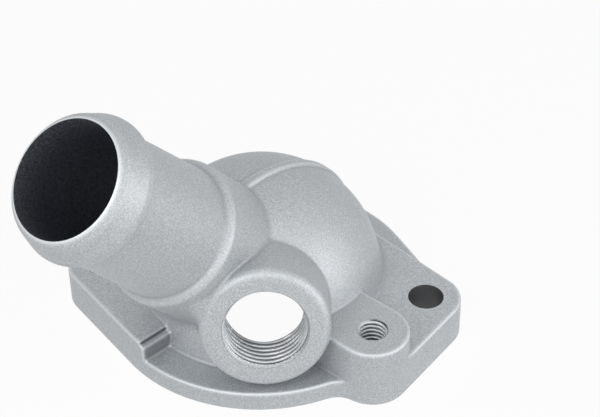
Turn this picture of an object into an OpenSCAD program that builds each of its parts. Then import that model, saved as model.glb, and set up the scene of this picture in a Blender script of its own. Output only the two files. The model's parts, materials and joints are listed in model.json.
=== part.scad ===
// Coolant outlet housing cast in aluminium: a two-bolt flange, a domed chamber,
// a slanted hose spigot, a threaded sensor port and a tapped bracket boss.
// Units are millimetres. The sealing face lies on Z = 0, the dome stands on the
// Z axis and the two bolt holes lie on a line parallel to X.

/* [Flange] */
// Diameter of the round part of the flange
rim_d = 81; // [78:0.5:86]
// Thickness of the flange rim
rim_h = 5.2; // [4:0.1:6.5]
// Distance between the two bolt holes
bolt_spacing = 84.2; // [83:0.1:87]
// Shift of the bolt pair along X from the dome axis
bolt_shift = 0.9; // [-1:0.1:1.5]
// Distance of the bolt line from the dome axis along Y
bolt_line = -4.4; // [-5:0.1:-2]
// Diameter of the two bolt holes
bolt_hole_d = 9; // [6.6:0.1:10]
// Radius of the rounded ear ends
ear_r = 8.9; // [8:0.1:9.5]
// Height of the two bolt pads above the sealing face
pad_h = 10.4; // [9:0.1:11.5]
// Height of the low step at the end of the second pad
step_h = 9.2; // [7.5:0.1:9.8]
// Length of the low step
step_len = 1.5; // [0.8:0.1:2.5]
// Distance of the end of the second pad from the parting plane
pad_end = -0.4; // [-2:0.1:1]
// Direction that the back edge of the second pad faces
pad_back_az = 108; // [100:1:116]

/* [Bracket boss] */
// Place of the tapped hole along X
boss_x = 32.3; // [31:0.1:33]
// Place of the tapped hole along Y
boss_y = -25; // [-26:0.1:-24]
// Radius of the boss
boss_r = 9.1; // [8.5:0.1:9.8]
// Height of the boss above the sealing face
boss_h = 16.6; // [15:0.1:18]
// Direction of the boss axis, from the dome outwards
boss_az = -31.7; // [-36:0.1:-28]
// Minor diameter of the tapped hole
tap_d = 6.6; // [5:0.1:7]
// Diameter of the chamfer at the mouth of the tapped hole
tap_chamfer_d = 7.7; // [7.2:0.1:8.4]
// Depth of the tapped hole
tap_depth = 12; // [9:0.5:13]
// Radius of the hollow blend between boss and rim
blend_r = 6; // [4:0.5:9]

/* [Dome] */
// Outer radius of the dome
dome_r = 30.8; // [30:0.1:32]
// Height of the dome centre above the sealing face
dome_z = 9.4; // [8.5:0.1:10.5]
// Wall thickness of the dome
dome_wall = 3.2; // [2.8:0.1:4.2]
// Draft angle of the dome wall below the ball
dome_draft = 12; // [12:0.5:12.5]
// Width of the parting rib over the dome
rib_w = 2.7; // [2:0.1:4]
// Height of the parting rib above the dome
rib_h = 0.8; // [0.5:0.1:1.5]
// Diameter of the valve seat in the sealing face
seat_d = 60; // [58:0.5:64]
// Depth of the valve seat
seat_depth = 3.2; // [2:0.1:4]

/* [Hose spigot] */
// Direction of the spigot seen from above
spigot_az = -126.9; // [-131:0.1:-124]
// Angle of the spigot above the sealing face
spigot_el = 48.6; // [46:0.1:51]
// Height where the spigot axis meets the dome axis
spigot_z = 7; // [6:0.1:8]
// Distance of the spigot mouth from the dome axis, along the spigot axis
spigot_len = 85; // [81:0.1:90]
// Outer diameter of the hose tube next to the bead
tube_d = 32; // [30:0.1:33]
// Outer diameter of the hose tube next to the collar
tube_root_d = 33.4; // [33:0.1:34]
// Diameter of the hose bead
bead_d = 35.7; // [34.5:0.1:37]
// Distance of the bead land from the mouth
bead_back = 6.9; // [6.5:0.1:8]
// Length of the cylindrical land on the bead
bead_land = 1.6; // [1.2:0.1:2.5]
// Length of the step from the bead down to the tube
bead_step = 1; // [0.6:0.1:1.6]
// Diameter of the lip at the mouth
lip_d = 32; // [31.8:0.1:33]
// Rounding of the lip at the mouth
lip_round = 1.6; // [0.8:0.1:1.7]
// Diameter of the bore
spigot_bore_d = 28.4; // [27:0.1:29.5]
// Diameter of the collar
collar_d = 36.8; // [36:0.1:38]
// Distance of the collar shoulder from the dome axis, along the spigot axis
collar_len = 44.6; // [43:0.1:47]
// Rounding of the collar shoulder
collar_round = 1.8; // [1:0.1:2]

/* [Sensor port] */
// Direction of the port seen from above
port_az = -77.3; // [-80:0.1:-75]
// Angle of the port above the sealing face
port_el = 13; // [10:0.1:15]
// Height where the port axis meets the dome axis
port_z = 14.2; // [13.5:0.1:15.5]
// Distance of the port face from the dome axis, along the port axis
port_len = 37.4; // [36:0.1:39]
// Outer diameter of the port boss
port_d = 31.9; // [29.5:0.1:32.5]
// Rounding of the port edge
port_round = 2.2; // [1:0.1:2.5]
// Minor diameter of the port thread
port_thread_d = 19.8; // [18:0.1:20.6]
// Diameter of the chamfer at the port mouth
port_chamfer_d = 21.2; // [20.8:0.1:22.5]

/* [Hidden] */
$fn = 128;
alu = [0.68, 0.69, 0.70];
over = 1;
far = 2 * rim_d;
rim_r = rim_d / 2;
bolt_a = [bolt_shift + bolt_spacing / 2, bolt_line];
bolt_b = [bolt_shift - bolt_spacing / 2, bolt_line];
boss_c = [boss_x, boss_y];
rib_az = spigot_az + 180;
pad_end_az = spigot_az + 90;
cavity_r = dome_r - dome_wall;
cap_r = dome_r * cos(dome_draft);
cap_z = dome_z + dome_r * sin(dome_draft);
seat_r = seat_d / 2;
tube_start = spigot_len - bead_back - bead_land - bead_step;
blend_c = meet([0, 0], rim_r + blend_r, boss_c, boss_r + blend_r);

function unit(a) = [cos(a), sin(a)];
function heading(p, q) = atan2(q[1] - p[1], q[0] - p[0]);
// Normal of the outer tangent of two circles, on the left (1) or right (-1) of p to q
function tangent_normal(p, r, q, s, side) =
    unit(heading(p, q) + side * acos((r - s) / norm(q - p)));
// Point at distance r from p and s from q, on the right of p to q
function meet(p, r, q, s) =
    p + r * unit(heading(p, q) - acos((r * r + norm(q - p) * norm(q - p) - s * s) / (2 * r * norm(q - p))));

// Area between two circles and their outer tangent on one side
module web(p, r, q, s, side) {
    n = tangent_normal(p, r, q, s, side);
    polygon([p, p + r * n, q + s * n, q]);
}

// Half plane of the points whose distance along direction az is at most d
module half_plane(az, d) {
    rotate(az)
        translate([d - far, -far])
            square([far, 2 * far]);
}

// Plan outline of the flange
module flange_outline() {
    circle(rim_r);
    translate(bolt_a)
        circle(ear_r);
    translate(bolt_b)
        circle(ear_r);
    translate(boss_c)
        circle(boss_r);
    web([0, 0], rim_r, bolt_a, ear_r, 1);
    web(boss_c, boss_r, bolt_a, ear_r, -1);
    polygon([[0, 0], boss_c, bolt_a]);
    web([0, 0], rim_r, bolt_b, ear_r, 1);
    web([0, 0], rim_r, bolt_b, ear_r, -1);
    difference() {
        polygon([[0, 0], blend_c, boss_c]);
        translate(blend_c)
            circle(blend_r);
    }
}

// Pad beside the bracket boss, with its back edge across the rib
module first_pad() {
    intersection() {
        flange_outline();
        half_plane(rib_az, bolt_a * unit(rib_az) + ear_r);
        half_plane(rib_az + 90, 0);
        half_plane(boss_az - 90, boss_c * unit(boss_az - 90));
    }
}

// Pad below the spigot, ending in a step above the rim
module second_pad(reach) {
    intersection() {
        flange_outline();
        half_plane(pad_end_az, pad_end + reach);
        half_plane(pad_back_az, bolt_b * unit(pad_back_az) + ear_r);
        half_plane(pad_end_az + 90, 0);
    }
}

// Tongue of the bracket boss from its round end back into the dome
module boss_plan() {
    intersection() {
        flange_outline();
        translate(boss_c)
            rotate(boss_az)
                union() {
                    circle(boss_r);
                    translate([-norm(boss_c), -boss_r])
                        square([norm(boss_c), 2 * boss_r]);
                }
    }
}

// Half profile of a round bar of radius r and length h with a rounded end edge
module bar_profile(r, h, q) {
    square([r - q, h]);
    square([r, h - q]);
    translate([r - q, h - q])
        circle(q);
}

// Frame of the spigot: Z runs out along its axis from the dome axis
module along_spigot() {
    translate([0, 0, spigot_z])
        rotate([0, 90 - spigot_el, spigot_az])
            children();
}

// Frame of the port: Z runs out along its axis from the dome axis
module along_port() {
    translate([0, 0, port_z])
        rotate([0, 90 - port_el, port_az])
            children();
}

module spigot_body() {
    along_spigot() {
        rotate_extrude()
            bar_profile(collar_d / 2, collar_len, collar_round);
        translate([0, 0, collar_len - 2 * collar_round])
            cylinder(r1 = tube_root_d / 2, r2 = tube_d / 2, h = tube_start - collar_len + 2 * collar_round);
        rotate_extrude()
            bead_profile();
    }
}

// Half profile of the hose bead, widest at its crest and narrower at the lip
module bead_profile() {
    polygon([
        [0, tube_start - over],
        [tube_d / 2, tube_start - over],
        [tube_d / 2, tube_start],
        [bead_d / 2, tube_start + bead_step],
        [bead_d / 2, spigot_len - bead_back],
        [lip_d / 2, spigot_len - lip_round],
        [lip_d / 2 - lip_round, spigot_len],
        [0, spigot_len]
    ]);
}

module port_body() {
    along_port()
        rotate_extrude()
            bar_profile(port_d / 2, port_len, port_round);
}

// Low flat rib over the dome, from the collar down to the rim
module rib() {
    intersection() {
        translate([0, 0, dome_z])
            rotate([90, 0, rib_az])
                cylinder(r = dome_r + rib_h, h = rib_w, center = true);
        rotate(rib_az)
            translate([-collar_d / 4, -rib_w, rim_h - over])
                cube([rim_d, 2 * rib_w, rim_d]);
    }
}

// Outside of the dome: a ball cap that runs smoothly into a drafted wall
module dome_body() {
    rotate_extrude() {
        polygon([
            [0, 0],
            [cap_r + cap_z * tan(dome_draft), 0],
            [cap_r, cap_z],
            [0, cap_z]
        ]);
        intersection() {
            translate([0, dome_z])
                circle(dome_r);
            translate([0, cap_z])
                square(2 * dome_r);
        }
    }
}

// Inside of the dome: a half ball that goes straight down through the sealing face
module cavity() {
    rotate_extrude() {
        translate([0, -collar_d / 2])
            square([cavity_r, dome_z + collar_d / 2]);
        translate([0, dome_z])
            intersection() {
                circle(cavity_r);
                square(cavity_r);
            }
    }
}

module flange_body() {
    linear_extrude(rim_h)
        flange_outline();
    linear_extrude(pad_h)
        first_pad();
    linear_extrude(pad_h)
        second_pad(0);
    linear_extrude(step_h)
        second_pad(step_len);
    linear_extrude(boss_h)
        boss_plan();
}

// Bore of minor diameter d going down from Z = 0, with a chamfer at its mouth
module threaded_bore(d, mouth, depth) {
    translate([0, 0, -depth])
        cylinder(d = d, h = depth + over);
    translate([0, 0, (d - mouth) / 2])
        cylinder(d1 = d, d2 = mouth + 2 * over, h = (mouth - d) / 2 + over);
}

// Chamber, seat and every bore
module hollows() {
    cavity();
    translate([0, 0, -over])
        cylinder(r = seat_r, h = seat_depth + over);
    along_spigot()
        cylinder(d = spigot_bore_d, h = spigot_len + over);
    along_port()
        translate([0, 0, port_len])
            threaded_bore(port_thread_d, port_chamfer_d, port_len);
    for (p = [bolt_a, bolt_b])
        translate([p[0], p[1], -over])
            cylinder(d = bolt_hole_d, h = pad_h + 2 * over);
    translate([boss_x, boss_y, boss_h])
        threaded_bore(tap_d, tap_chamfer_d, tap_depth);
}

module housing() {
    color(alu)
        difference() {
            union() {
                flange_body();
                dome_body();
                rib();
                port_body();
                spigot_body();
            }
            hollows();
        }
}

housing();
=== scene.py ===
"""Looks of a coolant outlet housing: a blasted aluminium casting with machined holes and threads."""

import json
import math

import bmesh
import bpy
import numpy as np
import openvdb
from mathutils import Matrix, Vector


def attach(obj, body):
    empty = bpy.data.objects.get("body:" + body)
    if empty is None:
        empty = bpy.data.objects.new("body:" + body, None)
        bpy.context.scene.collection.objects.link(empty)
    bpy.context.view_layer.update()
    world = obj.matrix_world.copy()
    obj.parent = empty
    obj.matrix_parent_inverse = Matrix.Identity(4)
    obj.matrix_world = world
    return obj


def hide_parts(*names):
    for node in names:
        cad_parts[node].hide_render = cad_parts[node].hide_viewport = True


bl_info = {
    "name": "Coolant Outlet Housing",
    "version": (1, 0, 0),
    "blender": (4, 5, 0),
    "location": "View3D > Sidebar > Housing",
    "description": "Builds the looks of a cast coolant outlet housing around its packed frame",
    "category": "Object",
}

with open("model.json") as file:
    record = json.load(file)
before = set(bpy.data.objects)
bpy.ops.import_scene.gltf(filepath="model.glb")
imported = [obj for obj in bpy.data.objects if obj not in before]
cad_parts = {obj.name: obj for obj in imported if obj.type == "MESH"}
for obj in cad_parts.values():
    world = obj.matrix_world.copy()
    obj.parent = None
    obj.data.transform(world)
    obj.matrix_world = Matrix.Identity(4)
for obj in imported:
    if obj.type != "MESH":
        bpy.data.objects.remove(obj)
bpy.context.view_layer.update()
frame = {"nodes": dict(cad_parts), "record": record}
NODE = "housing"
BODY = "root"
MOUNTS = {m["name"]: m for m in frame["record"]["mounts"]}
MM = 0.001
# Finishes of the faces, in the order of the materials
CAST, CORE, MACHINED = 0, 1, 2
# Tolerances on the CAD mesh
WELD = 2e-6
SAME_LEVEL = 1e-5
BORE_TOLERANCE = 0.05 * MM
# Holes: depth in millimetres where a mount gives none, width of a mouth outside its bore,
# reach of the cutters past a mouth, and height below which bare metal is machined
BOLT_HOLE_DEPTH = 20.0
MOUTH_MARGIN = 1.2 * MM
CUT_REACH = 6 * MM
SEAT_HEIGHT = 3.3 * MM
# Painted shade on the walls of the bolt holes
HOLE_SHADE = 0.43
# Threads: unthreaded end, gap below the crests and rows of points in a pitch
THREAD_SHORT = 0.5 * MM
CREST_GAP = 0.02 * MM
ROWS_PER_PITCH = 8
# Skin: how far the outer solid is let down below the sealing face, how far off the field a
# cast point may lie in millimetres, how much flat areas are joined, and how far a fill drops
LET_DOWN = 4 * MM
SKIN_TOLERANCE = 0.12
ADAPTIVITY = 0.01
FILL_DROP = 4.0
SHARP_ANGLE = math.radians(32)
# Width of the painted highlight on the spigot lip, and depth inside the spigot mouth that has lighter
# specks in the painted shade of the core
LIP_WIDTH = 0.9 * MM
MOUTH_SPECK_DEPTH = 16 * MM
# Place of the step at the end of the bolt pad, and how dark the painted shadow on its two risers is
STEP_START = 28 * MM
STEP_LEVEL = 9 * MM
STEP_REACH = 2.5 * MM
STEP_FADE = 0.3 * MM
LOW_SHADOW = 0.4
HIGH_SHADOW = 0.8
LAMP_TARGET = (0.0, -0.01, 0.03)
# Name, angle around the casting, angle above the floor and power of each lamp
LAMPS = (
    ("left", -115, 40, 1.08),
    ("right_low", -10, 15, 0.87),
    ("front_top", -65, 60, 0.36),
    ("front_low", -55, 15, 0.32),
    ("right", -10, 40, 0.12),
)
IMAGE_WIDTH = 600
SENSOR_WIDTH = 36.0


class HousingCastSettings(bpy.types.PropertyGroup):
    """Sizes and colours of the casting."""

    fillet: bpy.props.FloatProperty(
        name="Fillet",
        description="Radius of the hollow corners where cast forms meet",
        default=0.35 * MM,
        unit="LENGTH",
        subtype="DISTANCE",
    )
    edge_round: bpy.props.FloatProperty(
        name="Edge rounding",
        description="Radius of the outer edges of the casting",
        default=0.3 * MM,
        unit="LENGTH",
        subtype="DISTANCE",
    )
    voxel: bpy.props.FloatProperty(
        name="Grid step",
        description="Step of the grid that the cast skin is made on",
        default=0.25 * MM,
        unit="LENGTH",
        subtype="DISTANCE",
    )
    web_radius: bpy.props.FloatProperty(
        name="Web radius",
        description="Radius of the hollow between the collar, the port and the chamber wall",
        default=3.0 * MM,
        unit="LENGTH",
        subtype="DISTANCE",
    )
    web_place: bpy.props.FloatVectorProperty(
        name="Web place",
        description="Middle of the hollow between the collar, the port and the chamber wall",
        default=(-12 * MM, -31 * MM, 21 * MM),
        unit="LENGTH",
        subtype="TRANSLATION",
    )
    web_reach: bpy.props.FloatProperty(
        name="Web reach",
        description="Distance from its middle within which the hollow is full",
        default=9.5 * MM,
        unit="LENGTH",
        subtype="DISTANCE",
    )
    port_pitch: bpy.props.FloatProperty(
        name="Port thread pitch",
        description="Pitch of the thread in the sensor port",
        default=1.81 * MM,
        unit="LENGTH",
        subtype="DISTANCE",
    )
    port_thread_depth: bpy.props.FloatProperty(
        name="Port thread depth",
        description="Depth of the thread in the sensor port",
        default=0.75 * MM,
        unit="LENGTH",
        subtype="DISTANCE",
    )
    tap_pitch: bpy.props.FloatProperty(
        name="Bracket thread pitch",
        description="Pitch of the thread in the bracket boss",
        default=1.25 * MM,
        unit="LENGTH",
        subtype="DISTANCE",
    )
    tap_thread_depth: bpy.props.FloatProperty(
        name="Bracket thread depth",
        description="Depth of the thread in the bracket boss",
        default=0.66 * MM,
        unit="LENGTH",
        subtype="DISTANCE",
    )
    cast_colour: bpy.props.FloatVectorProperty(
        name="Casting colour",
        description="Colour of the blasted outer skin",
        default=(0.555, 0.577, 0.597),
        min=0.0,
        max=1.0,
        subtype="COLOR",
    )
    # Painted shade: the inside of the casting is given a dark colour
    core_colour: bpy.props.FloatVectorProperty(
        name="Core colour",
        description="Colour of the rough inside of the casting",
        default=(0.05, 0.056, 0.075),
        min=0.0,
        max=1.0,
        subtype="COLOR",
    )
    cut_colour: bpy.props.FloatVectorProperty(
        name="Machined colour",
        description="Colour of the machined faces and threads",
        default=(0.9, 0.925, 0.95),
        min=0.0,
        max=1.0,
        subtype="COLOR",
    )
    grain: bpy.props.FloatProperty(
        name="Grain size",
        description="Size of the grains of the blasted skin",
        default=0.34 * MM,
        unit="LENGTH",
        subtype="DISTANCE",
    )


class HousingStageSettings(bpy.types.PropertyGroup):
    """Light and floor."""

    lamp_level: bpy.props.FloatProperty(
        name="Lamp level",
        description="Factor on the power of all the lamps",
        default=1.0,
        min=0.0,
    )
    lamp_distance: bpy.props.FloatProperty(
        name="Lamp distance",
        description="Distance of the lamps from the casting",
        default=0.6,
        unit="LENGTH",
        subtype="DISTANCE",
    )
    lamp_size: bpy.props.FloatProperty(
        name="Lamp size",
        description="Side of the square lamps",
        default=0.35,
        unit="LENGTH",
        subtype="DISTANCE",
    )
    sky: bpy.props.FloatProperty(
        name="Sky level",
        description="Brightness of the light from all round",
        default=0.1,
    )
    floor_white: bpy.props.FloatProperty(
        name="Floor white",
        description="Share of the floor that stays white in shadow",
        default=0.95,
        min=0.0,
        max=1.0,
        subtype="FACTOR",
    )


def vec(values):
    """A list of numbers as an array."""
    return np.array(values, float)


def mount_axis(name):
    """Point and unit axis of a mount."""
    m = MOUNTS[name]
    axis = vec(m["axis"])
    return vec(m["pos_m"]), axis / np.linalg.norm(axis)


def hole_mouths():
    """Each hole as (name, point, unit axis, radius, whether both ends are open), in metres."""
    holes = []
    for name in ("spigot_bore", "valve_seat", "sensor_port", "bracket_tap"):
        point, axis = mount_axis(name)
        holes.append((name, point, axis, MOUNTS[name]["dims"]["r_mm"] * MM, False))
    point, axis = mount_axis("bolt_holes")
    dims = MOUNTS["bolt_holes"]["dims"]
    for side in (-0.5, 0.5):
        at = point + vec((side * dims["spacing_x_mm"] * MM, 0, 0))
        holes.append(("bolt_holes", at, axis, dims["hole_r_mm"] * MM, True))
    return holes


def hole_depth(name):
    """Depth to which a hole is looked for behind its mount."""
    return MOUNTS[name]["dims"].get("length_mm", BOLT_HOLE_DEPTH) * MM


def welded_cad():
    """The CAD mesh with its split corners joined again, as a new bmesh."""
    bm = bmesh.new()
    bm.from_mesh(frame["nodes"][NODE].data)
    bmesh.ops.remove_doubles(bm, verts=bm.verts, dist=WELD)
    bmesh.ops.triangulate(bm, faces=bm.faces)
    bm.verts.ensure_lookup_table()
    bm.edges.ensure_lookup_table()
    bm.faces.ensure_lookup_table()
    return bm


def about_axis(points, point, axis):
    """How far along an axis each point is, and how far away from it."""
    along = (points - point) @ axis
    return along, np.linalg.norm(points - point - along[:, None] * axis, axis=1)


def near_hole(points, hole):
    """Points along and away from the axis of a hole, and which of them belong to it."""
    name, point, axis, radius, _ = hole
    along, away = about_axis(points, point, axis)
    near = (away < radius + MOUTH_MARGIN) & (along > -hole_depth(name))
    level = near & (along > along[near].max() - SAME_LEVEL)
    return along, away, near & (away < away[level].min() + BORE_TOLERANCE)


def mouth_ring(name):
    """Level along the axis and radius of the mouth of a hole."""
    mesh = frame["nodes"][NODE].data
    points = np.array([v.co for v in mesh.vertices])
    hole = next(h for h in hole_mouths() if h[0] == name)
    along, away, near = near_hole(points, hole)
    level = along[near].max()
    return level, away[near & (along > level - SAME_LEVEL)].max()


def split_at_mouths(bm):
    """Finds the faces inside the holes and the edge loops at their mouths."""
    co = np.array([v.co for v in bm.verts])
    walls = set()
    seeds = []
    loops = []
    for hole in hole_mouths():
        _, _, axis, _, through = hole
        along, _, near = near_hole(co, hole)
        top = along[near].max()
        ends = [(top, axis)]
        if through:
            ends.append((along[near].min(), -axis))
        for level, out in ends:
            rim = near & (np.abs(along - level) < SAME_LEVEL)
            edges = [e for e in bm.edges if rim[e.verts[0].index] and rim[e.verts[1].index]]
            loops.append((edges, out))
            walls.update(e.index for e in edges)
        low = near & (along < top - SAME_LEVEL)
        seeds += [
            f
            for f in bm.faces
            if all(near[v.index] for v in f.verts) and any(low[v.index] for v in f.verts)
        ]
    inside = {f.index for f in seeds}
    todo = list(seeds)
    while todo:
        for edge in todo.pop().edges:
            if edge.index in walls:
                continue
            for other in edge.link_faces:
                if other.index not in inside:
                    inside.add(other.index)
                    todo.append(other)
    return inside, loops


def arrays(bm):
    """Points and triangles of a bmesh in millimetres."""
    bmesh.ops.triangulate(bm, faces=bm.faces)
    bm.verts.index_update()
    points = np.array([v.co for v in bm.verts], float) / MM
    triangles = np.array([[v.index for v in f.verts] for f in bm.faces], np.int32)
    return points, triangles


def outer_solid():
    """The outside of the casting with every hole filled, let down below the sealing face."""
    bm = welded_cad()
    inside, _ = split_at_mouths(bm)
    bmesh.ops.delete(bm, geom=[f for f in bm.faces if f.index in inside], context="FACES")
    rims = [e for e in bm.edges if len(e.link_faces) == 1]
    bmesh.ops.holes_fill(bm, edges=rims, sides=0)
    left = sum(1 for e in bm.edges if len(e.link_faces) != 2)
    if left:
        raise RuntimeError(f"the outer skin is open at {left} edges")
    for v in bm.verts:
        if v.co.z < SAME_LEVEL:
            v.co.z = -LET_DOWN
    result = arrays(bm)
    bm.free()
    return result


def core_mesh():
    """The space inside the holes as closed solids that reach out past every mouth."""
    bm = welded_cad()
    inside, loops = split_at_mouths(bm)
    outside = [f for f in bm.faces if f.index not in inside]
    bmesh.ops.delete(bm, geom=outside, context="FACES")
    for edges, out in loops:
        made = bmesh.ops.extrude_edge_only(bm, edges=[e for e in edges if e.is_valid])["geom"]
        for v in (g for g in made if isinstance(g, bmesh.types.BMVert)):
            v.co += Vector(out) * CUT_REACH
    rims = [e for e in bm.edges if len(e.link_faces) == 1]
    bmesh.ops.holes_fill(bm, edges=rims, sides=0)
    bmesh.ops.recalc_face_normals(bm, faces=bm.faces)
    left = sum(1 for e in bm.edges if len(e.link_faces) != 2)
    if left:
        raise RuntimeError(f"the core is open at {left} edges")
    bmesh.ops.triangulate(bm, faces=bm.faces)
    mesh = bpy.data.meshes.new("core_cutter")
    bm.to_mesh(mesh)
    bm.free()
    return mesh


def level_set(points, triangles, step, reach):
    """Grid of signed distances to a closed surface, in millimetres."""
    return openvdb.FloatGrid.createLevelSetFromPolygons(
        np.ascontiguousarray(points, np.float32),
        triangles=np.ascontiguousarray(triangles, np.uint32),
        transform=openvdb.createLinearTransform(voxelSize=step),
        halfWidth=reach / step + 3,
    )


def skin(grid, level, adaptivity=0.0):
    """Points and triangles of a grid at one distance."""
    points, triangles, quads = grid.convertToPolygons(isovalue=level, adaptivity=adaptivity)
    points = np.asarray(points)
    quads = np.asarray(quads).reshape(-1, 4)
    both = [np.asarray(triangles).reshape(-1, 3), quads[:, (0, 1, 2)], quads[:, (0, 2, 3)]]
    return points, outwards(points, np.concatenate(both))


def outwards(points, triangles):
    """Triangles turned so that their normals point out."""
    a, b, c = (points[triangles[:, i]].astype(float) for i in range(3))
    if np.einsum("ij,ij->i", a, np.cross(b, c)).sum() < 0:
        return triangles[:, ::-1]
    return triangles


def blurred(values, times):
    """A block of values with each one averaged with its neighbours."""
    for _ in range(times):
        for axis in range(3):
            values = 0.5 * values + 0.25 * (np.roll(values, 1, axis) + np.roll(values, -1, axis))
    return values


class CastField:
    """Distances to a rounded cast skin on a grid, in millimetres."""

    def __init__(self, solid, fillet, edge_round, step):
        self.step = step
        grid = level_set(*solid, step, fillet)
        grid = level_set(*skin(grid, fillet), step, fillet + edge_round)
        grid = level_set(*skin(grid, -fillet - edge_round), step, edge_round + 6 * step)
        low, high = (np.array(c) for c in grid.evalActiveVoxelBoundingBox())
        self.low = low - 2
        self.values = np.full(high - low + 5, grid.background, np.float32)
        grid.copyToArray(self.values, ijk=tuple(int(i) for i in self.low))
        self.values -= edge_round

    def fill(self, other, place, reach):
        """Takes the fuller skin of another field near a place, less and less up to twice the reach."""
        low = np.floor((place - 2 * reach) / self.step - self.low).astype(int)
        high = np.ceil((place + 2 * reach) / self.step - self.low).astype(int)
        low, high = (np.clip(c, 0, self.values.shape) for c in (low, high))
        part = self.values[tuple(slice(*c) for c in zip(low, high))]
        index = np.stack(np.meshgrid(*map(np.arange, low, high), indexing="ij"), -1).reshape(-1, 3)
        points = (index + self.low) * self.step
        far = np.linalg.norm(points - place, axis=1) / reach - 1
        values = other.sample(other.values, points) + FILL_DROP * np.clip(far, 0, 1) ** 2
        np.minimum(part, values.reshape(part.shape), out=part)

    def smooth(self):
        """Softens the skin by a grid step and finds how sharply it bends."""
        self.values = blurred(self.values, 1).astype(np.float32)
        bend = sum(np.roll(self.values, s, a) for a in range(3) for s in (-1, 1))
        bend = (bend - 6 * self.values) / self.step**2
        bend[np.abs(self.values) > 4 * self.step] = 0
        self.bend = blurred(bend, 2)

    def surface(self):
        """The skin as points and triangles, with larger triangles where it is flat."""
        grid = openvdb.FloatGrid(float(self.values.max()))
        grid.copyFromArray(self.values, ijk=tuple(int(i) for i in self.low))
        grid.transform = openvdb.createLinearTransform(voxelSize=self.step)
        return skin(grid, 0.0, ADAPTIVITY)

    def sample(self, block, points):
        """Values of a block at points, between its grid points."""
        place = points / self.step - self.low
        place = np.clip(place, 1, np.array(block.shape) - 3)
        base = np.floor(place).astype(int)
        part = place - base
        total = 0
        for corner in np.ndindex(2, 2, 2):
            c = np.array(corner)
            weight = np.prod(np.where(c, part, 1 - part), axis=1)
            i, j, k = (base + c).T
            total = total + weight * block[i, j, k]
        return total

    def normals(self, points):
        """Unit normals of the field at points."""
        reach = 0.6 * self.step
        slopes = []
        for axis in range(3):
            move = np.zeros(3)
            move[axis] = reach
            slopes.append(
                self.sample(self.values, points + move) - self.sample(self.values, points - move)
            )
        slopes = np.stack(slopes, 1)
        return slopes / np.maximum(np.linalg.norm(slopes, axis=1, keepdims=True), 1e-9)


def side_axes(axis):
    """Two unit directions across an axis."""
    first = np.cross(axis, (0, 0, 1) if abs(axis[2]) < 0.9 else (1, 0, 0))
    first /= np.linalg.norm(first)
    return first, np.cross(axis, first)


def thread_cutter(name, depth, pitch):
    """A tap-shaped solid about the axis of a hole, with the chamfer at its mouth."""
    point, axis = mount_axis(name)
    first, second = side_axes(axis)
    minor = MOUNTS[name]["dims"]["r_mm"] * MM
    end, mouth = mouth_ring(name)
    start = end - (mouth - minor) - MOUNTS[name]["dims"]["length_mm"] * MM + THREAD_SHORT
    around = int(6 * minor / MM) + 48
    rows = int((end - start) / pitch * ROWS_PER_PITCH)
    levels = np.concatenate([np.linspace(start, end, rows), [end + CUT_REACH]])
    angle = np.linspace(0, 2 * np.pi, around, endpoint=False)
    turn = (levels[:, None] / pitch - angle[None, :] / (2 * np.pi)) % 1.0
    wave = np.abs(2 * turn - 1)
    groove = np.clip((wave - 0.3) / 0.5, 0, 1)
    fade = np.clip((levels - start) / (1.5 * pitch), 0, 1)[:, None]
    radius = minor - CREST_GAP + depth * groove * fade
    chamfer = mouth - (end - levels)[:, None]
    radius = np.maximum(radius, np.minimum(chamfer, mouth))
    ring = np.cos(angle)[:, None] * first + np.sin(angle)[:, None] * second
    points = point + levels[:, None, None] * axis + radius[:, :, None] * ring[None]
    points = points.reshape(-1, 3)
    index = np.arange(len(levels) * around).reshape(len(levels), around)
    nxt = np.roll(index, -1, axis=1)
    quads = np.stack([index[:-1], nxt[:-1], nxt[1:], index[1:]], -1).reshape(-1, 4)
    faces = [list(map(int, q)) for q in quads]
    faces += [list(map(int, index[0][::-1])), list(map(int, index[-1]))]
    mesh = bpy.data.meshes.new(name + "_cutter")
    mesh.from_pydata(points.tolist(), [], faces)
    bm = bmesh.new()
    bm.from_mesh(mesh)
    bmesh.ops.triangulate(bm, faces=bm.faces)
    bmesh.ops.recalc_face_normals(bm, faces=bm.faces)
    bm.to_mesh(mesh)
    bm.free()
    return mesh


def floor_box():
    """A box below the sealing face."""
    bm = bmesh.new()
    size = Matrix.Diagonal((300 * MM, 300 * MM, 20 * MM, 1))
    bmesh.ops.create_cube(bm, size=1.0, matrix=Matrix.Translation((0, 0, -10 * MM)) @ size)
    mesh = bpy.data.meshes.new("floor_cutter")
    bm.to_mesh(mesh)
    bm.free()
    return mesh


def cut(obj, mesh):
    """Takes a closed solid out of an object."""
    tool = bpy.data.objects.new(mesh.name, mesh)
    bpy.context.scene.collection.objects.link(tool)
    change = obj.modifiers.new("cut", "BOOLEAN")
    change.operation = "DIFFERENCE"
    change.solver = "MANIFOLD"
    change.object = tool
    depsgraph = bpy.context.evaluated_depsgraph_get()
    result = bpy.data.meshes.new_from_object(obj.evaluated_get(depsgraph))
    if not len(result.polygons) or len(result.polygons) == len(obj.data.polygons):
        raise RuntimeError(f"{mesh.name} took nothing away")
    obj.modifiers.clear()
    old = obj.data
    obj.data = result
    bpy.data.meshes.remove(old)
    bpy.data.objects.remove(tool)
    bpy.data.meshes.remove(mesh)


def read_values(items, name, width):
    """One number or vector of each item as an array."""
    values = np.zeros(len(items) * width, float if width > 1 else int)
    items.foreach_get(name, values)
    return values.reshape(-1, width) if width > 1 else values


class MeshData:
    """Points, faces and corners of a mesh as arrays, in metres."""

    def __init__(self, mesh):
        self.points = read_values(mesh.vertices, "co", 3)
        self.face_normal = read_values(mesh.polygons, "normal", 3)
        self.centre = read_values(mesh.polygons, "center", 3)
        self.starts = read_values(mesh.polygons, "loop_start", 1)
        self.corner_vertex = read_values(mesh.loops, "vertex_index", 1)
        self.totals = np.diff(np.append(self.starts, len(self.corner_vertex)))

    def spread(self, values):
        """Values of the faces given to their corners."""
        return np.repeat(values, self.totals, axis=0)


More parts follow.
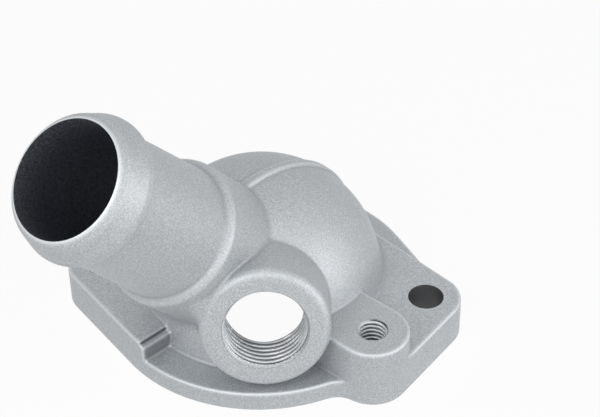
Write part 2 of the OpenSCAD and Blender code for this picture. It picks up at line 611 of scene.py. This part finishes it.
def cast_faces(data, field, normals):
    """Which faces lie on the cast skin and face its way."""
    on_skin = np.abs(field.sample(field.values, data.points / MM)) < SKIN_TOLERANCE
    corners = np.add.reduceat(on_skin[data.corner_vertex].astype(int), data.starts)
    mean = np.add.reduceat(normals[data.corner_vertex], data.starts, axis=0)
    mean /= data.totals[:, None]
    same_way = np.einsum("ij,ij->i", mean, data.face_normal) > 0.7
    return (corners == data.totals) & same_way


def hole_finish(data, cast):
    """Finish of each face, and the painted shade of each corner of a hole wall: its depth in the thread
    groove, or HOLE_SHADE in the bolt holes.
    """
    finish = np.where(cast, CAST, CORE)
    finish[~cast & (data.centre[:, 2] < SEAT_HEIGHT)] = MACHINED
    groove = np.zeros(len(data.corner_vertex))
    corner_point = data.points[data.corner_vertex]
    for name, point, axis, radius, through in hole_mouths():
        if name in ("spigot_bore", "valve_seat"):
            continue
        level, mouth = mouth_ring(name)
        chamfer = level - 0.8 * (mouth - radius)
        along, away = about_axis(data.centre, point, axis)
        wall = ~cast & (np.abs(data.face_normal @ axis) < 0.95) & (np.abs(along) < hole_depth(name))
        wall &= (away < radius + MOUTH_MARGIN) & (away > 0.9 * radius)
        finish[wall] = np.where(along[wall] > chamfer, CAST, MACHINED)
        along, away = about_axis(corner_point, point, axis)
        dark = np.where(along < chamfer, (away - radius) / MM, 0)
        if through:
            dark = np.full(len(away), HOLE_SHADE)
        groove = np.where(data.spread(wall), np.maximum(groove, dark), groove)
    return finish, groove


def lip_share(points):
    """Share of the painted highlight on the lip: how near each point on the end of the spigot is to its
    mouth, from 0 to 1.
    """
    level, mouth = mouth_ring("spigot_bore")
    along, away = about_axis(points, *mount_axis("spigot_bore"))
    share = 1 - np.clip((away - mouth) / LIP_WIDTH, 0, 1)
    return np.where((along > level - LIP_WIDTH) & (away > mouth - SAME_LEVEL), share, 0)


def step_shadow(points, normals):
    """Share of painted shadow on the two risers at the end of the bolt pad."""
    _, axis = mount_axis("spigot_bore")
    ahead = vec((axis[0], axis[1], 0)) / np.hypot(axis[0], axis[1])
    across = np.cross((0, 0, 1), ahead)
    facing = np.clip((normals @ across - 0.6) / 0.25, 0, 1)
    near = (np.abs(points @ across) < STEP_REACH) & (points @ ahead > STEP_START)
    near &= points[:, 2] < STEP_LEVEL + STEP_REACH
    height = np.clip((points[:, 2] - STEP_LEVEL) / STEP_FADE, 0, 1)
    return facing * near * (LOW_SHADOW + (HIGH_SHADOW - LOW_SHADOW) * height)


def corner_normals(mesh, data, cast, normals):
    """Normals of the skin on cast faces, of the bores on their walls and of flat faces below."""
    own = read_values(mesh.corner_normals, "vector", 3)
    cast_corner = data.spread(cast)
    own[cast_corner] = normals[data.corner_vertex[cast_corner]]
    corner_point = data.points[data.corner_vertex]
    face_normal = data.spread(data.face_normal)
    for _, point, axis, radius, _ in hole_mouths():
        along, away = about_axis(corner_point, point, axis)
        inward = (point + along[:, None] * axis - corner_point) / np.maximum(away, WELD)[:, None]
        facing = np.einsum("ij,ij->i", face_normal, inward) > 0.9
        wall = facing & ~cast_corner & (np.abs(away - radius) < BORE_TOLERANCE)
        own[wall] = inward[wall]
    flat = ~cast_corner & (face_normal[:, 2] < -0.99)
    own[flat] = face_normal[flat]
    return own


def shade(obj, field):
    """Sorts the faces by finish and gives the mesh its normals and the values for its materials."""
    mesh = obj.data
    data = MeshData(mesh)
    normals = field.normals(data.points / MM)
    cast = cast_faces(data, field, normals)
    finish, groove = hole_finish(data, cast)
    mesh.polygons.foreach_set("material_index", finish.astype(np.int32))
    mesh.polygons.foreach_set("use_smooth", np.ones(len(finish), bool))
    mesh.set_sharp_from_angle(angle=SHARP_ANGLE)
    corner_normal = corner_normals(mesh, data, cast, normals)
    layers = {
        "bend": field.sample(field.bend, data.points / MM)[data.corner_vertex],
        "groove": groove,
        "lip": lip_share(data.points)[data.corner_vertex],
        "riser_shadow": step_shadow(data.points, normals)[data.corner_vertex],
    }
    for name, values in layers.items():
        layer = mesh.attributes.new(name, "FLOAT", "CORNER")
        layer.data.foreach_set("value", values.astype(np.float32))
    mesh.normals_split_custom_set(corner_normal.tolist())


def new_material(name):
    """An empty material with its shader and output."""
    material = bpy.data.materials.new(name)
    material.use_nodes = True
    tree = material.node_tree
    tree.nodes.clear()
    shader = tree.nodes.new("ShaderNodeBsdfPrincipled")
    output = tree.nodes.new("ShaderNodeOutputMaterial")
    tree.links.new(shader.outputs["BSDF"], output.inputs["Surface"])
    return material, tree, shader


def noise_node(tree, size, detail, contrast):
    """Noise of one grain size as a value about 0.5, spread by contrast."""
    place = tree.nodes.new("ShaderNodeTexCoord")
    noise = tree.nodes.new("ShaderNodeTexNoise")
    noise.inputs["Scale"].default_value = 1.0 / size
    noise.inputs["Detail"].default_value = detail
    tree.links.new(place.outputs["Object"], noise.inputs["Vector"])
    spread = tree.nodes.new("ShaderNodeMapRange")
    spread.inputs["From Min"].default_value = 0.5 - contrast
    spread.inputs["From Max"].default_value = 0.5 + contrast
    tree.links.new(noise.outputs["Fac"], spread.inputs["Value"])
    return spread.outputs["Result"]


def blend_colours(tree, factor, low, high):
    """Colour between two colours by a factor socket."""
    mix = tree.nodes.new("ShaderNodeMix")
    mix.data_type = "RGBA"
    for socket, value in ((mix.inputs[6], low), (mix.inputs[7], high)):
        if isinstance(value, bpy.types.NodeSocket):
            tree.links.new(value, socket)
        else:
            socket.default_value = (*value, 1.0)
    tree.links.new(factor, mix.inputs[0])
    return mix.outputs[2]


def map_value(tree, value, low, high, to_low, to_high):
    """A value moved from one range to another."""
    node = tree.nodes.new("ShaderNodeMapRange")
    node.inputs["From Min"].default_value = low
    node.inputs["From Max"].default_value = high
    node.inputs["To Min"].default_value = to_low
    node.inputs["To Max"].default_value = to_high
    tree.links.new(value, node.inputs["Value"])
    return node.outputs["Result"]


def attribute_value(tree, name):
    """Value of a named attribute of the mesh."""
    node = tree.nodes.new("ShaderNodeAttribute")
    node.attribute_name = name
    return node.outputs["Fac"]


def bump(tree, shader, height, depth, strength):
    """Fine relief from a height socket."""
    node = tree.nodes.new("ShaderNodeBump")
    node.inputs["Strength"].default_value = strength
    node.inputs["Distance"].default_value = depth
    tree.links.new(height, node.inputs["Height"])
    tree.links.new(node.outputs["Normal"], shader.inputs["Normal"])


def scaled(colour, factor):
    """A colour made lighter or darker."""
    return tuple(min(c * factor, 1.0) for c in colour)


def cast_material(settings):
    """Blasted aluminium: fine grain with painted glints, a painted highlight on the edges and the lip,
    painted shade in the corners and a painted shadow on the step risers.
    """
    material, tree, shader = new_material("blasted_aluminium")
    grain = noise_node(tree, settings.grain, 2.0, 0.22)
    cloud = noise_node(tree, 20 * settings.grain, 3.0, 0.3)
    colour = tuple(settings.cast_colour)
    base = blend_colours(tree, grain, scaled(colour, 0.72), scaled(colour, 1.22))
    shade_factor = map_value(tree, cloud, 0, 1, 0, 0.15)
    base = blend_colours(tree, shade_factor, base, scaled(colour, 0.8))
    # Painted glints: rare bright specks of the grain
    fleck = map_value(tree, noise_node(tree, 0.8 * settings.grain, 0.0, 0.5), 0.64, 0.78, 0, 0.4)
    base = blend_colours(tree, fleck, base, scaled(colour, 1.7))
    bend = attribute_value(tree, "bend")
    # Painted highlight on the convex edges
    edge = map_value(tree, bend, 0.3, 1.4, 0, 0.58)
    base = blend_colours(tree, edge, base, scaled(colour, 1.5))
    # Painted highlight on the lip of the spigot
    lip_highlight = map_value(tree, attribute_value(tree, "lip"), 0, 0.6, 0, 0.62)
    base = blend_colours(tree, lip_highlight, base, scaled(colour, 1.65))
    # Painted shade in the hollow corners
    corner = map_value(tree, bend, -0.15, -0.8, 0, 0.35)
    base = blend_colours(tree, corner, base, scaled(colour, 0.55))
    # Painted shadow on the risers of the step
    base = blend_colours(tree, attribute_value(tree, "riser_shadow"), base, scaled(colour, 0.08))
    tree.links.new(base, shader.inputs["Base Color"])
    shader.inputs["Metallic"].default_value = 0.55
    rough = map_value(tree, grain, 0, 1, 0.46, 0.6)
    tree.links.new(rough, shader.inputs["Roughness"])
    bump(tree, shader, grain, 0.06 * MM, 0.5)
    return material


def core_material(settings):
    """Rough inside of the casting, painted dark as shade, with lighter specks towards the spigot mouth."""
    material, tree, shader = new_material("cast_core")
    grain = noise_node(tree, 2 * settings.grain, 2.0, 0.2)
    colour = tuple(settings.core_colour)
    base = blend_colours(tree, grain, scaled(colour, 0.6), scaled(colour, 1.5))
    point, axis = mount_axis("spigot_bore")
    level, _ = mouth_ring("spigot_bore")
    mouth = point @ axis + level
    place = tree.nodes.new("ShaderNodeTexCoord")
    along = tree.nodes.new("ShaderNodeVectorMath")
    along.operation = "DOT_PRODUCT"
    along.inputs[1].default_value = tuple(axis)
    tree.links.new(place.outputs["Object"], along.inputs[0])
    # The painted shade of the inside gets lighter specks towards the spigot mouth
    near = map_value(tree, along.outputs["Value"], mouth - MOUTH_SPECK_DEPTH, mouth, 0, 1)
    fleck = noise_node(tree, settings.grain, 2.0, 0.25)
    mouth_specks = tree.nodes.new("ShaderNodeMath")
    mouth_specks.operation = "MULTIPLY"
    tree.links.new(near, mouth_specks.inputs[0])
    tree.links.new(fleck, mouth_specks.inputs[1])
    blasted = map_value(tree, mouth_specks.outputs[0], 0.25, 0.9, 0, 0.75)
    base = blend_colours(tree, blasted, base, scaled(settings.cast_colour, 0.45))
    tree.links.new(base, shader.inputs["Base Color"])
    shader.inputs["Metallic"].default_value = 0.2
    shader.inputs["Roughness"].default_value = 0.7
    bump(tree, shader, grain, 0.2 * MM, 0.5)
    return material


def cut_material(settings):
    """Machined aluminium, with painted shade in the thread grooves and the bolt holes."""
    material, tree, shader = new_material("machined_aluminium")
    grain = noise_node(tree, settings.grain, 2.0, 0.3)
    colour = tuple(settings.cut_colour)
    base = blend_colours(tree, grain, scaled(colour, 0.9), scaled(colour, 1.05))
    # Painted shade: darker deeper in the thread grooves and in the bolt holes
    depth = map_value(tree, attribute_value(tree, "groove"), 0.16, 0.46, 0, 1)
    base = blend_colours(tree, depth, base, scaled(colour, 0.05))
    tree.links.new(base, shader.inputs["Base Color"])
    shader.inputs["Metallic"].default_value = 0.4
    shader.inputs["Roughness"].default_value = 0.5
    return material


class HousingCasting(bpy.types.Operator):
    """Builds the casting with its rounded skin, machined holes and threads"""

    bl_idname = "housing.casting"
    bl_label = "Casting"

    def execute(self, context):
        settings = context.scene.housing_cast
        solid = outer_solid()
        edge_round = settings.edge_round / MM
        field = CastField(solid, settings.fillet / MM, edge_round, settings.voxel / MM)
        web = CastField(solid, settings.web_radius / MM, edge_round, 2 * settings.voxel / MM)
        field.fill(web, vec(settings.web_place) / MM, settings.web_reach / MM)
        field.smooth()
        points, triangles = field.surface()
        mesh = bpy.data.meshes.new("casting")
        mesh.from_pydata((points * MM).tolist(), [], triangles.tolist())
        obj = bpy.data.objects.new("casting", mesh)
        context.scene.collection.objects.link(obj)
        cut(obj, floor_box())
        cut(obj, core_mesh())
        cut(obj, thread_cutter("sensor_port", settings.port_thread_depth, settings.port_pitch))
        cut(obj, thread_cutter("bracket_tap", settings.tap_thread_depth, settings.tap_pitch))
        obj.data.materials.clear()
        for make in (cast_material, core_material, cut_material):
            obj.data.materials.append(make(settings))
        shade(obj, field)
        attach(obj, BODY)
        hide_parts(NODE)
        return {"FINISHED"}


def area_light(name, around, above, distance, size, power):
    """A square lamp turned to the casting, at an angle around and above it."""
    data = bpy.data.lights.new(name, "AREA")
    data.energy = power
    data.size = size
    obj = bpy.data.objects.new(name, data)
    level = math.cos(above)
    out = Vector((level * math.cos(around), level * math.sin(around), math.sin(above)))
    obj.location = Vector(LAMP_TARGET) + distance * out
    obj.rotation_euler = (-out).to_track_quat("-Z", "Y").to_euler()
    bpy.context.scene.collection.objects.link(obj)
    return obj


def seen_ray(tree):
    """1 for rays from the camera, in a reflection or through glass, and 0 for the light on the casting."""
    path = tree.nodes.new("ShaderNodeLightPath")
    total = path.outputs["Is Camera Ray"]
    for name in ("Is Glossy Ray", "Is Transmission Ray"):
        most = tree.nodes.new("ShaderNodeMath")
        most.operation = "MAXIMUM"
        tree.links.new(total, most.inputs[0])
        tree.links.new(path.outputs[name], most.inputs[1])
        total = most.outputs[0]
    return total


def floor_material(share):
    """White floor that keeps a faint shadow."""
    material = bpy.data.materials.new("white_floor")
    material.use_nodes = True
    tree = material.node_tree
    tree.nodes.clear()
    diffuse = tree.nodes.new("ShaderNodeBsdfDiffuse")
    diffuse.inputs["Color"].default_value = (0.9, 0.9, 0.9, 1)
    glow = tree.nodes.new("ShaderNodeEmission")
    glow.inputs["Strength"].default_value = 1.0
    amount = map_value(tree, seen_ray(tree), 0, 1, 0, share)
    mix = tree.nodes.new("ShaderNodeMixShader")
    output = tree.nodes.new("ShaderNodeOutputMaterial")
    tree.links.new(amount, mix.inputs[0])
    tree.links.new(diffuse.outputs["BSDF"], mix.inputs[1])
    tree.links.new(glow.outputs["Emission"], mix.inputs[2])
    tree.links.new(mix.outputs["Shader"], output.inputs["Surface"])
    return material


def sky_world(level):
    """Even light from all round that the camera sees as white."""
    world = bpy.data.worlds.new("studio")
    world.use_nodes = True
    tree = world.node_tree
    tree.nodes.clear()
    background = tree.nodes.new("ShaderNodeBackground")
    output = tree.nodes.new("ShaderNodeOutputWorld")
    strength = map_value(tree, seen_ray(tree), 0, 1, level, 1.0)
    tree.links.new(strength, background.inputs["Strength"])
    tree.links.new(background.outputs["Background"], output.inputs["Surface"])
    background.inputs["Color"].default_value = (1, 1, 1, 1)
    return world


def photo_camera():
    """The camera of the photo."""
    data = bpy.data.cameras.new("camera")
    data.sensor_fit = "HORIZONTAL"
    data.sensor_width = SENSOR_WIDTH
    data.lens = 1766.75 / IMAGE_WIDTH * SENSOR_WIDTH
    data.clip_start = 0.01
    data.clip_end = 20.0
    right = Vector((0.98534229, 0.17001255, -0.01401055))
    down = Vector((0.09735406, -0.62787179, -0.77220412))
    ahead = Vector((-0.14008122, 0.7595214, -0.63522004))
    obj = bpy.data.objects.new("camera", data)
    turn = Matrix((right, -down, -ahead)).transposed()
    obj.matrix_world = Matrix.Translation(Vector((71.9918, -334.4885, 311.2317)) * MM) @ turn.to_4x4()
    bpy.context.scene.collection.objects.link(obj)
    bpy.context.scene.camera = obj


class HousingStage(bpy.types.Operator):
    """Builds the floor, the lamps and the camera"""

    bl_idname = "housing.stage"
    bl_label = "Stage"

    def execute(self, context):
        settings = context.scene.housing_stage
        scene = context.scene
        scene.view_settings.view_transform = "Standard"
        scene.world = sky_world(settings.sky)
        bpy.ops.mesh.primitive_plane_add(size=6.0)
        floor = context.object
        floor.name = "floor"
        floor.data.materials.append(floor_material(settings.floor_white))
        for name, around, above, power in LAMPS:
            area_light(
                name,
                math.radians(around),
                math.radians(above),
                settings.lamp_distance,
                settings.lamp_size,
                power * settings.lamp_level,
            )
        photo_camera()
        return {"FINISHED"}


class HousingPanel(bpy.types.Panel):
    """Lists the sizes and the steps of the housing"""

    bl_idname = "VIEW3D_PT_housing"
    bl_label = "Coolant Outlet Housing"
    bl_space_type = "VIEW_3D"
    bl_region_type = "UI"
    bl_category = "Housing"

    def draw(self, context):
        for group in (context.scene.housing_cast, context.scene.housing_stage):
            for name in group.bl_rna.properties.keys():
                if name not in ("rna_type", "name"):
                    self.layout.prop(group, name)
        for step in (HousingCasting, HousingStage):
            self.layout.operator(step.bl_idname)


CLASSES = (
    HousingCastSettings,
    HousingStageSettings,
    HousingCasting,
    HousingStage,
    HousingPanel,
)


def register():
    """Registers the classes and their settings."""
    for item in CLASSES:
        bpy.utils.register_class(item)
    bpy.types.Scene.housing_cast = bpy.props.PointerProperty(type=HousingCastSettings)
    bpy.types.Scene.housing_stage = bpy.props.PointerProperty(type=HousingStageSettings)


def unregister():
    """Takes the classes and their settings away."""
    del bpy.types.Scene.housing_stage
    del bpy.types.Scene.housing_cast
    for item in reversed(CLASSES):
        bpy.utils.unregister_class(item)


def main():
    """Builds everything."""
    register()
    bpy.ops.housing.casting()
    bpy.ops.housing.stage()


if __name__ == "__main__":
    main()
